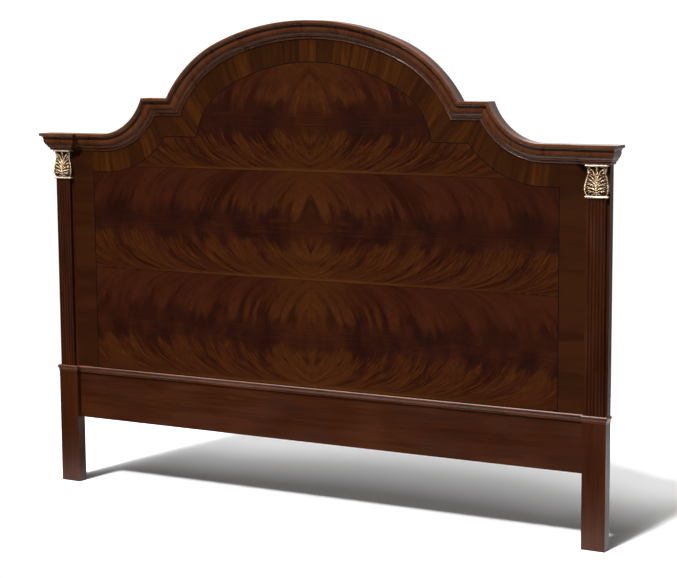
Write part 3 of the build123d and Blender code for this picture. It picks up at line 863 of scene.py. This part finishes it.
# the leaf as strokes on one half of the face, across from the midrib and up from the neck, in mm:
# start, bend, end, root width, tip width and rise
LEAF = [
    ((0, 2), (1.5, 26), (0.5, 50), 2.2, 2.4, 0.99),      # midrib
    ((0.5, 46), (4, 58), (12, 74), 3.3, 2.8, 1.00),      # branch to the scroll
    ((11, 72), (17, 80), (22, 74), 2.8, 2.0, 1.00),      # scroll, over the top
    ((22, 74), (22, 68), (17, 68), 2.0, 2.4, 0.95),      # scroll, turning in
    ((1, 55), (2, 66), (1, 76), 2.4, 2.2, 0.80),         # bud between the branches
    ((1, 80), (0.5, 84), (0, 87), 3.6, 2.6, 1.00),       # boss under the abacus
    ((28, 80), (25, 84), (20, 84), 2.6, 1.8, 0.85),      # leaf tip in the upper corner
    ((2, 40), (10, 54), (20, 58), 3.0, 1.8, 0.95),       # leaflets, from the top down
    ((2, 32), (12, 47), (25, 46), 3.4, 1.8, 0.95),
    ((2, 25), (14, 38), (27, 33), 3.4, 1.9, 0.90),
    ((2, 17), (14, 28), (26, 20), 3.2, 1.9, 0.90),
    ((2, 9), (12, 18), (22, 9), 2.8, 1.8, 0.85),
    ((1, 4), (8, 9), (15, 3), 2.2, 1.5, 0.75),
    ((12, 52), (20, 62), (27, 60), 2.0, 1.2, 0.75),      # smaller ones between them
    ((14, 41), (22, 52), (29, 50), 2.0, 1.2, 0.80),
    ((15, 31), (24, 42), (31, 37), 2.0, 1.2, 0.80),
    ((15, 21), (24, 30), (32, 24), 2.0, 1.2, 0.80),
    ((12, 12), (21, 20), (30, 11), 2.0, 1.2, 0.75),
    ((25, 66), (31, 50), (34.5, 28), 1.6, 2.4, 1.00),    # rolled outer edge
    ((34.5, 28), (36, 12), (29, 3), 2.4, 1.8, 1.00),
    ((10, 60), (17, 64), (20, 63), 1.6, 1.1, 0.70),      # leaflet under the scroll
    ((25, 64), (26, 74), (29, 85), 2.0, 2.4, 1.00),      # upper corner leaf
    ((16, 78), (22, 84), (26, 80), 1.8, 1.6, 0.90),
]


def stroke_points(a, b, c, count=22):
    """Points of a curve from a to c that bends towards b."""
    t = np.linspace(0, 1, count)[:, None]
    a, b, c = np.array(a), np.array(b), np.array(c)
    return (1 - t) ** 2 * a + 2 * t * (1 - t) * b + t ** 2 * c


def carve(across, up):
    """Height of the carving, 0 to 1, at places on the leaf; its lower strokes are cut into leaflets."""
    grid = np.stack([across, up], -1)
    height = np.zeros(across.shape)
    cuts = np.abs(np.sin(pi * (0.19 * across + 0.11 * up)) * np.sin(pi * (0.17 * up - 0.09 * across)))
    broken = 0.42 + 0.58 * cuts ** 0.6
    for a, b, c, wide, narrow, rise in LEAF:
        points = stroke_points(a, b, c)
        gaps = np.linalg.norm(grid[..., None, :] - points, axis=-1)
        t = gaps.argmin(-1) / (len(points) - 1)
        waves = max(2, round(np.linalg.norm(np.subtract(c, a)) / 4.5))
        lobes = 0.68 + 0.32 * np.cos(2 * pi * t * waves)
        swell = 0.55 + 0.45 * np.sin(pi * np.clip(t * 0.9 + 0.1, 0, 1))
        off = gaps.min(-1) / ((wide + (narrow - wide) * t) * lobes * swell)
        vein = 0.35 * np.exp(-(off / 0.16) ** 2) * (off < 1)
        body = np.sqrt(np.clip(1 - off ** 2, 0, 1)) - vein
        raised = rise * (0.70 + 0.30 * t) * np.clip(body, 0, 1)
        height = np.maximum(height, raised if rise >= 1 else raised * broken)
    return height


def bell(fraction, values):
    """A profile of the capital up its height, with its bends smoothed."""
    reach = 7
    window = np.hanning(2 * reach + 1)
    line = np.interp(fraction, BELL_AT, values) * MM
    return np.convolve(np.pad(line, reach, "edge"), window / window.sum(), "valid")


def bell_section(turn, half, face):
    """The plain capital in plan: flat front, round shoulders, straight sides back to the post."""
    away = np.abs(turn)
    across = np.clip(away, 0, 1)
    bulge = np.sqrt(np.clip(1 - (np.clip(across - ROUNDING, 0, 1) / (1 - ROUNDING)) ** 2, 0, 1))
    back = np.clip((away - 1) / (WRAP - 1), 0, 1)
    side_y = face + SHOULDER + back * (POST_FRONT - face - SHOULDER)
    y = np.where(away <= 1, face + SHOULDER * (1 - bulge), side_y)
    return np.sign(turn) * half * across, y


def carved_section(turn, half, face, up):
    """The same section with the leaf standing out from it, and the height of the leaf."""
    away = np.abs(turn)
    x, y = bell_section(turn, half, face)
    flat = away * half / MM / 1.06
    height = carve(flat, np.full_like(flat, up))
    tilt = np.clip((away - ROUNDING) / 0.5, 0, 1) * pi / 2
    fade = np.clip((WRAP - away) / 0.12, 0, 1)
    rise = (height - 0.45) * RELIEF * fade
    x = x + np.sign(turn) * np.sin(tilt) * rise * 0.6
    y = np.minimum(y - np.cos(tilt) * rise, POST_FRONT)
    return x, y, height


def capital(name, side, material):
    """A vase of leaves: narrow above, swelling low down, wrapped round the front and both sides."""
    fraction = np.linspace(0, 1, ROWS)
    turn = np.linspace(-1, 1, COLUMNS) * WRAP
    verts, grain = [], []
    for f, half, face in zip(fraction, bell(fraction, BELL_HALF), bell(fraction, BELL_FACE)):
        z = NECK_TOP + f * (CAPITAL_TOP - NECK_TOP)
        for x, y, height in zip(*carved_section(turn, half, face, f * LEAF_H)):
            verts.append((side * POST_X + x, y, z))
            grain.append((height, f, side))
    faces = []
    for i in range(ROWS - 1):
        for j in range(COLUMNS - 1):
            first = i * COLUMNS + j
            faces.append((first, first + 1, first + COLUMNS + 1, first + COLUMNS))
    faces.append(tuple(range(COLUMNS)))
    faces.append(tuple(range((ROWS - 1) * COLUMNS, ROWS * COLUMNS)))
    edge = [i * COLUMNS for i in range(ROWS)]
    faces.append(tuple(edge + [i + COLUMNS - 1 for i in edge[::-1]]))
    return build(name, verts, faces, grain, material, [name], sharp=60)


def capitals():
    for name, side in SIDES:
        capital("capital_" + name, side, gilded("gilt_leaf_" + name))


# ---- the studio ----


def floor():
    """A pale oval floor, whose edge is lost in the white behind it."""
    half_wide, half_deep, middle_y, count = 2.6, 1.3, 1.0, 96
    turn = np.linspace(0, 2 * pi, count + 1)[:-1]
    rim = [(half_wide * cos(a), middle_y + half_deep * sin(a), 0.0) for a in turn]
    mesh = bpy.data.meshes.new("floor")
    mesh.from_pydata(rim, [], [tuple(range(count))])
    piece = bpy.data.objects.new("floor", mesh)
    bpy.context.scene.collection.objects.link(piece)
    shader = Shader("floor_white", 0.9, specular=0.0)
    x, y, _ = shader.place()
    cloud = shader.noise(x * 2, y * 2, detail=2.0)
    mesh.materials.append(shader.finish(shader.mix(cloud, (0.93, 0.93, 0.93), (0.96, 0.96, 0.96))))


def world():
    """White to the eye; gloss sees a pale wall behind, a dark room in front and a bright patch overhead."""
    room = bpy.data.worlds.new("studio")
    bpy.context.scene.world = room
    room.use_nodes = True
    tree = room.node_tree
    tree.nodes.clear()

    def glow(strength, colour=(1, 1, 1)):
        node = tree.nodes.new("ShaderNodeBackground")
        node.inputs["Color"].default_value = (*colour, 1)
        node.inputs["Strength"].default_value = strength
        return node

    def choose(factor, first, second):
        node = tree.nodes.new("ShaderNodeMixShader")
        tree.links.new(factor, node.inputs[0])
        tree.links.new(first.outputs[0], node.inputs[1])
        tree.links.new(second.outputs[0], node.inputs[2])
        return node

    def toward(direction, start, end):
        """Goes from 0 to 1 as a ray turns towards a direction."""
        dot = tree.nodes.new("ShaderNodeVectorMath")
        dot.operation = "DOT_PRODUCT"
        tree.links.new(place.outputs["Generated"], dot.inputs[0])
        dot.inputs[1].default_value = direction
        fade = tree.nodes.new("ShaderNodeMapRange")
        fade.interpolation_type = "SMOOTHSTEP"
        tree.links.new(dot.outputs["Value"], fade.inputs["Value"])
        fade.inputs[1].default_value = start
        fade.inputs[2].default_value = end
        return fade.outputs[0]

    place = tree.nodes.new("ShaderNodeTexCoord")
    path = tree.nodes.new("ShaderNodeLightPath")
    dark, wall, patch = glow(0.015), glow(0.40, (1.0, 0.95, 0.93)), glow(10.0, (1.0, 0.92, 0.90))
    walls = choose(toward((0.0, 1.0, 0.0), 0.0, 0.55), dark, wall)
    gloss = choose(toward((-0.05, -0.31, 0.95), 0.80, 0.90), walls, patch)
    lit = choose(path.outputs["Is Glossy Ray"], glow(0.035), gloss)
    seen = choose(path.outputs["Is Camera Ray"], lit, glow(1.1))
    out = tree.nodes.new("ShaderNodeOutputWorld")
    tree.links.new(seen.outputs[0], out.inputs["Surface"])


def soft_box(name, place, aim, size, power, colour=(1, 1, 1)):
    """A rectangle of light at a place, turned to its aim."""
    light = bpy.data.lights.new(name, "AREA")
    light.shape = "RECTANGLE"
    light.size, light.size_y = size
    light.energy = power
    light.color = colour
    lamp = bpy.data.objects.new(name, light)
    lamp.location = place
    lamp.rotation_euler = (Vector(aim) - Vector(place)).to_track_quat("-Z", "Y").to_euler()
    bpy.context.scene.collection.objects.link(lamp)


def sun(name, toward, strength, spread):
    """A distant light, soft by its spread in degrees; toward points from the object to it."""
    light = bpy.data.lights.new(name, "SUN")
    light.energy = strength
    light.angle = radians(spread)
    lamp = bpy.data.objects.new(name, light)
    lamp.rotation_euler = Vector(toward).to_track_quat("Z", "Y").to_euler()
    bpy.context.scene.collection.objects.link(lamp)


def lights():
    """Three suns from high in front, a low fill, and soft boxes at the right and over the floor behind."""
    sun("key", (-0.08, -0.63, 0.77), 4.1, 6)
    sun("high", (-0.08, -0.46, 0.88), 1.2, 12)
    sun("top", (-0.08, -0.30, 0.95), 1.0, 16)
    sun("fill", (0.35, -0.90, 0.22), 0.5, 26)
    soft_box("side", (3.9, 1.4, 2.4), (0.6, 0.0, 1.2), (0.8, 1.6), 10, (1.0, 0.94, 0.92))
    soft_box("back", (0.0, 2.7, 1.7), (0.0, 1.3, 0.0), (2.4, 0.8), 7)


def camera():
    """The view from the front right, a little above the middle."""
    yaw, pitch, roll = radians(29.18), radians(7.644), radians(-0.41)
    place, lens, sensor = (2.9275, -5.0506, 1.5222), 97.286, 36
    forward = Vector((-sin(yaw) * cos(pitch), cos(yaw) * cos(pitch), -sin(pitch)))
    level = Vector((cos(yaw), sin(yaw), 0))
    rise = level.cross(forward)
    right = level * cos(roll) + rise * sin(roll)
    up = rise * cos(roll) - level * sin(roll)
    data = bpy.data.cameras.new("camera")
    data.lens, data.sensor_width = lens, sensor
    eye = bpy.data.objects.new("camera", data)
    turn = Matrix((right, up, -forward)).transposed()
    eye.matrix_world = Matrix.Translation(place) @ turn.to_4x4()
    bpy.context.scene.collection.objects.link(eye)
    bpy.context.scene.camera = eye


cornice()
lipping()
crossbanding()
stringing()
kept_nodes()
capitals()
floor()
world()
lights()
camera()
bpy.context.scene.view_settings.view_transform = "Standard"
